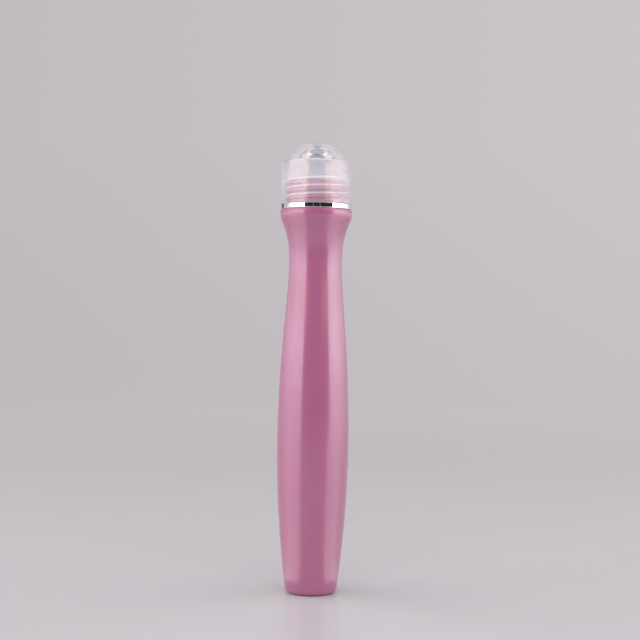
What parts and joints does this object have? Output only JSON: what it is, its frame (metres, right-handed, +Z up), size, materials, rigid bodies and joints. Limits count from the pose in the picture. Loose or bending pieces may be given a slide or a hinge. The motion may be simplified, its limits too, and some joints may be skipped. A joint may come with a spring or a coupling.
{
  "type": "roll-on bottle",
  "caption": "Slim waisted roll-on bottle with a steel roller ball in a milky housing, a bright trim ring and a clear domed screw cap.",
  "frame": {"origin": "middle of the foot, on the surface the bottle stands on", "axes": "+Z up along the bottle's axis, from the foot to the cap's crown; the picture looks along +Y, with +X to the right"},
  "size_m": [0.021, 0.021, 0.1308],
  "materials": {
    "pearl_pink_plastic": "gloss",
    "bright_silver": "polished",
    "milky_plastic": "satin",
    "polished_steel": "polished",
    "clear_plastic": "gloss"
  },
  "bodies": {
    "bottle": {"bottle": "pearl_pink_plastic", "ball_housing": "milky_plastic"},
    "ball": {"roller_ball": "polished_steel"},
    "ring": {"trim_ring": "bright_silver"},
    "cap": {"cap": "clear_plastic"}
  },
  "joints": [
    {"name": "ball_roll", "type": "hinge", "parent": "bottle", "child": "ball", "pos_m": [0, 0, 0.1236], "axis": [1, 0, 0], "continuous": true},
    {"name": "cap_turn", "type": "hinge", "parent": "bottle", "child": "ring", "pos_m": [0, 0, 0.1125], "axis": [0, 0, 1], "range_deg": [0, 3240]},
    {"name": "cap_lift", "type": "slide", "parent": "ring", "child": "cap", "axis": [0, 0, 1], "range_m": [0, 0.02071]}
  ],
  "couplings": [
    {"joint": "cap_lift", "follows": "cap_turn", "m_per_rad": 0.00036606}
  ]
}
